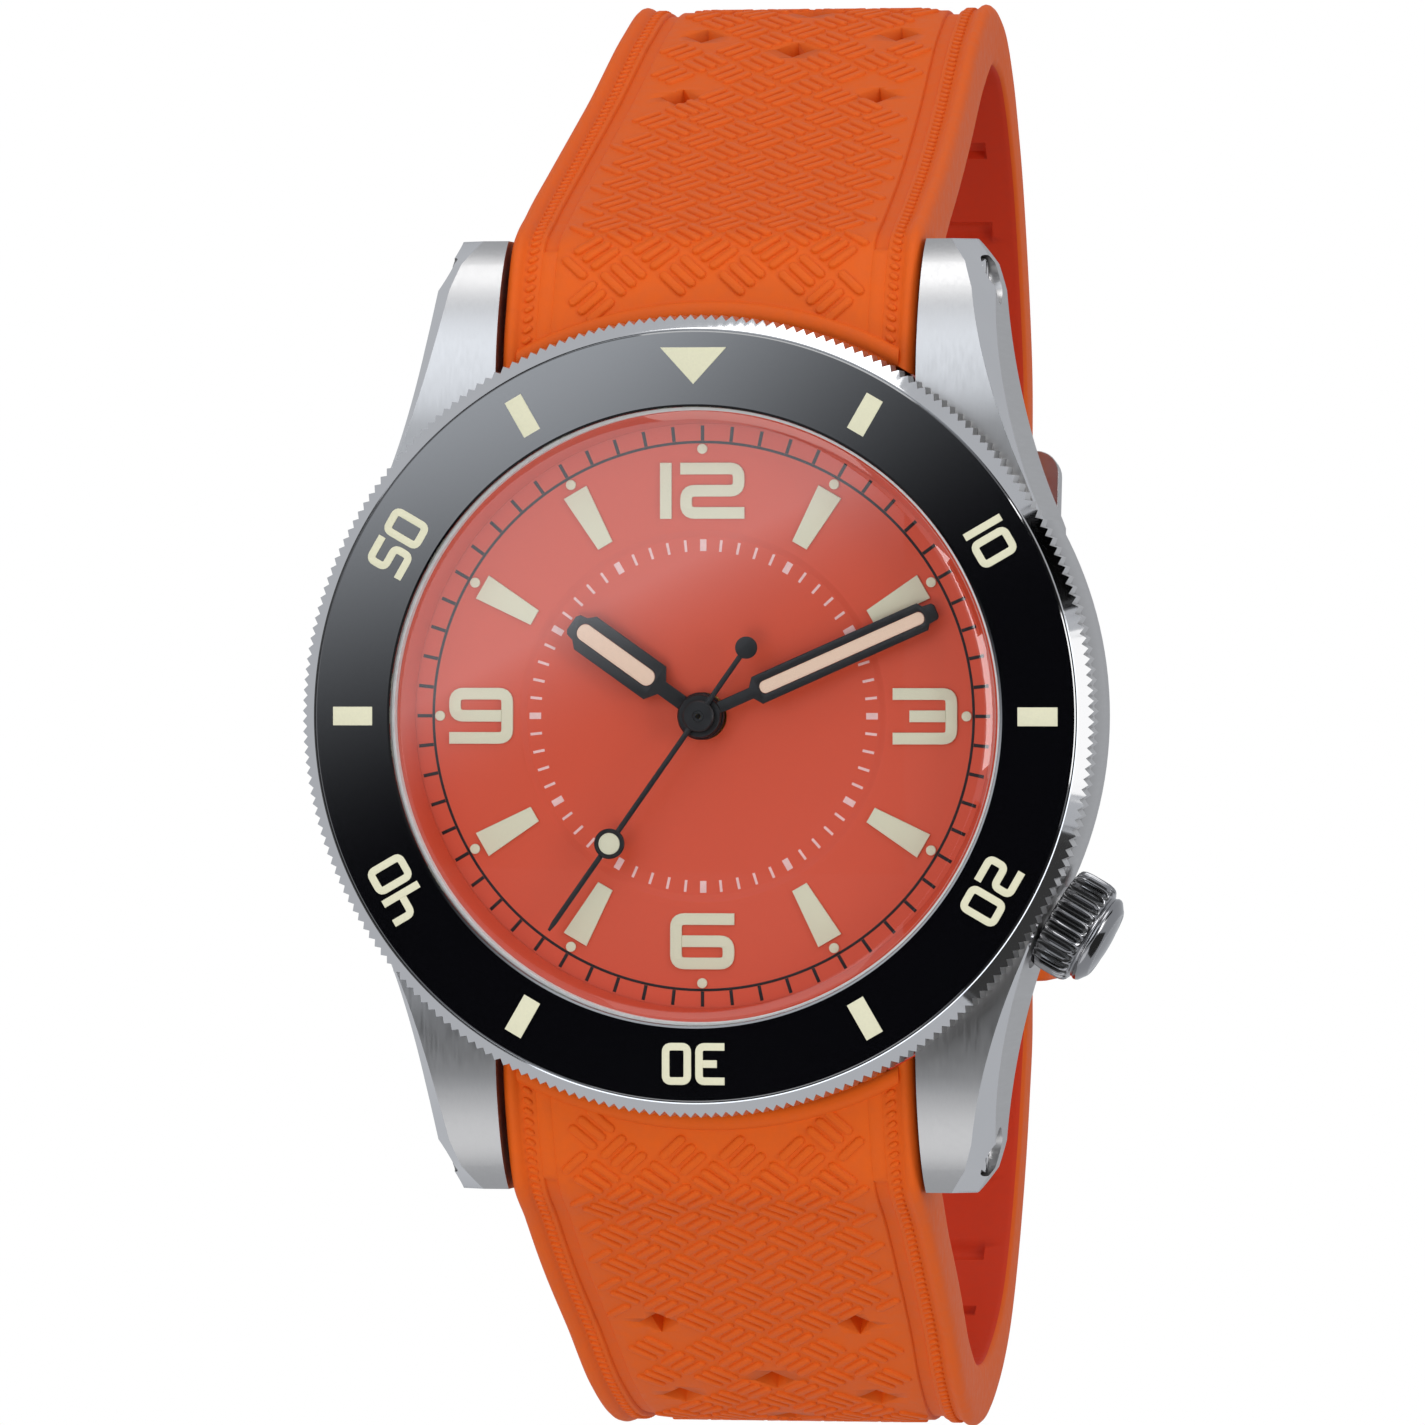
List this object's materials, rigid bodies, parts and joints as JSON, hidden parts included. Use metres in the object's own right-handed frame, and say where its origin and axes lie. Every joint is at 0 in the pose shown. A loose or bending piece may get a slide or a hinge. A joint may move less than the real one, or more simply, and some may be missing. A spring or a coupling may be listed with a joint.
{
  "type": "dive watch",
  "caption": "Quartz dive watch with a turning timing bezel, three hands under a flat crystal, a screwed crown at 4 o'clock and a closed rubber strap with a pin buckle.",
  "frame": {"origin": "centre of the flat outer face of the case back", "axes": "-Y out of the dial towards the viewer, +Y out of the case back towards the wrist, +Z towards 12 o'clock, +X towards 3 o'clock"},
  "size_m": [0.0427, 0.061, 0.0788],
  "materials": {
    "brushed_steel": "fine vertical brushing",
    "polished_steel": "mirror polish",
    "insert_black": "high gloss black",
    "dial_orange": "matt paint",
    "hand_black": "matt black",
    "lume_cream": "matt luminous paint",
    "lume_peach": "matt luminous paint",
    "strap_rubber": "satin, embossed weave",
    "crystal_glass": "clear, polished",
    "black_rubber": "matt",
    "gasket_white": "matt",
    "brass": "satin",
    "copper": "enamelled wire",
    "board_green": "satin",
    "print_dark": "matt print"
  },
  "bodies": {
    "case": {"mid_case": "brushed_steel", "case_back": "brushed_steel", "crown_tube": "brushed_steel", "bezel_click_spring": "polished_steel", "bezel_retaining_wire": "polished_steel", "train_bridge": "polished_steel", "bridge_screw_1": "polished_steel", "bridge_screw_2": "polished_steel", "battery": "polished_steel", "battery_clamp": "polished_steel", "stator": "polished_steel", "quartz_crystal": "polished_steel", "strap_bar_12": "polished_steel", "strap_bar_6": "polished_steel", "lug_screw_1": "polished_steel", "lug_screw_2": "polished_steel", "lug_screw_3": "polished_steel", "lug_screw_4": "polished_steel", "buckle_bar": "polished_steel", "case_back_screw_1": "polished_steel", "case_back_screw_2": "polished_steel", "case_back_screw_3": "polished_steel", "case_back_screw_4": "polished_steel", "case_back_screw_5": "polished_steel", "case_back_screw_6": "polished_steel", "dial": "dial_orange", "flange_ring": "dial_orange", "strap_12": "strap_rubber", "strap_6": "strap_rubber", "fixed_keeper": "strap_rubber", "crystal": "crystal_glass", "case_back_gasket": "black_rubber", "control_chip": "black_rubber", "crystal_gasket": "gasket_white", "movement_ring": "gasket_white", "main_plate": "brass", "coil": "copper", "circuit_board": "board_green"},
    "bezel": {"bezel_ring": "brushed_steel", "bezel_insert": "insert_black"},
    "seconds": {"second_wheel": "brass", "second_hand": "hand_black"},
    "rotor": {"rotor": "polished_steel"},
    "intermediate": {"intermediate_wheel": "brass"},
    "third": {"third_wheel": "brass"},
    "centre": {"centre_wheel": "brass"},
    "minutes": {"cannon_pinion": "brass", "minute_hand": "hand_black"},
    "minute_wheel": {"minute_wheel": "brass"},
    "hours": {"hour_wheel": "brass", "hour_hand": "hand_black"},
    "setting_wheel": {"setting_wheel": "polished_steel"},
    "clutch": {"sliding_pinion": "polished_steel"},
    "stem": {"stem": "polished_steel"},
    "crown": {"crown": "polished_steel", "crown_gasket": "black_rubber"},
    "setting_lever": {"setting_lever": "polished_steel"},
    "buckle_frame": {"buckle_frame": "brushed_steel"},
    "buckle_tang": {"buckle_tang": "polished_steel"},
    "sliding_keeper": {"sliding_keeper": "strap_rubber"}
  },
  "joints": [
    {"name": "bezel_turn", "type": "hinge", "parent": "case", "child": "bezel", "pos_m": [0, -0.0105, 0], "axis": [0, -1, 0], "continuous": true},
    {"name": "second_turn", "type": "hinge", "parent": "case", "child": "seconds", "pos_m": [0, -0.006, 0], "axis": [0, -1, 0], "continuous": true},
    {"name": "rotor_turn", "type": "hinge", "parent": "case", "child": "rotor", "pos_m": [0.00124, -0.004, 0.00539], "axis": [0, -1, 0], "continuous": true},
    {"name": "intermediate_turn", "type": "hinge", "parent": "case", "child": "intermediate", "pos_m": [0.00168, -0.004, 0.00291], "axis": [0, -1, 0], "continuous": true},
    {"name": "third_turn", "type": "hinge", "parent": "case", "child": "third", "pos_m": [0, -0.004, -0.0034], "axis": [0, -1, 0], "continuous": true},
    {"name": "centre_turn", "type": "hinge", "parent": "case", "child": "centre", "pos_m": [0, -0.005, 0], "axis": [0, -1, 0], "continuous": true},
    {"name": "minute_turn", "type": "hinge", "parent": "case", "child": "minutes", "pos_m": [0, -0.008, 0], "axis": [0, -1, 0], "continuous": true},
    {"name": "minute_wheel_turn", "type": "hinge", "parent": "case", "child": "minute_wheel", "pos_m": [0.00291, -0.0075, -0.00168], "axis": [0, -1, 0], "continuous": true},
    {"name": "hour_turn", "type": "hinge", "parent": "case", "child": "hours", "pos_m": [0, -0.009, 0], "axis": [0, -1, 0], "continuous": true},
    {"name": "setting_wheel_turn", "type": "hinge", "parent": "case", "child": "setting_wheel", "pos_m": [0.00594, -0.007, -0.00343], "axis": [0, -1, 0], "continuous": true},
    {"name": "crown_turn", "type": "hinge", "parent": "case", "child": "clutch", "pos_m": [0.01732, -0.0053, -0.01], "axis": [0.866, 0, -0.5], "continuous": true},
    {"name": "stem_pull", "type": "slide", "parent": "clutch", "child": "stem", "axis": [0.866, 0, -0.5], "range_m": [0, 0.001]},
    {"name": "crown_unscrew", "type": "slide", "parent": "stem", "child": "crown", "axis": [0.866, 0, -0.5], "range_m": [0, 0.0008]},
    {"name": "setting_lever_turn", "type": "hinge", "parent": "case", "child": "setting_lever", "pos_m": [0.01113, -0.0042, -0.00342], "axis": [0, -1, 0], "range_deg": [0, 22.8]},
    {"name": "frame_turn", "type": "hinge", "parent": "case", "child": "buckle_frame", "pos_m": [0, 0.0422, -0.0036], "axis": [-1, 0, 0], "range_deg": [0, 8]},
    {"name": "tang_turn", "type": "hinge", "parent": "buckle_frame", "child": "buckle_tang", "pos_m": [0, 0.0422, -0.0036], "axis": [-1, 0, 0], "range_deg": [0, 12]},
    {"name": "keeper_slide", "type": "slide", "parent": "case", "child": "sliding_keeper", "axis": [0, 0, -1], "range_m": [0, 0.0028]}
  ],
  "couplings": [
    {"joint": "rotor_turn", "follows": "second_turn", "ratio": 30},
    {"joint": "intermediate_turn", "follows": "second_turn", "ratio": -5},
    {"joint": "third_turn", "follows": "second_turn", "ratio": -0.13333},
    {"joint": "centre_turn", "follows": "second_turn", "ratio": 0.016667},
    {"joint": "minute_wheel_turn", "follows": "minute_turn", "ratio": -0.33333},
    {"joint": "hour_turn", "follows": "minute_turn", "ratio": 0.083333},
    {"joint": "setting_wheel_turn", "follows": "minute_turn", "ratio": 0.85714},
    {"joint": "setting_lever_turn", "follows": "stem_pull", "rad_per_m": 394.79}
  ]
}
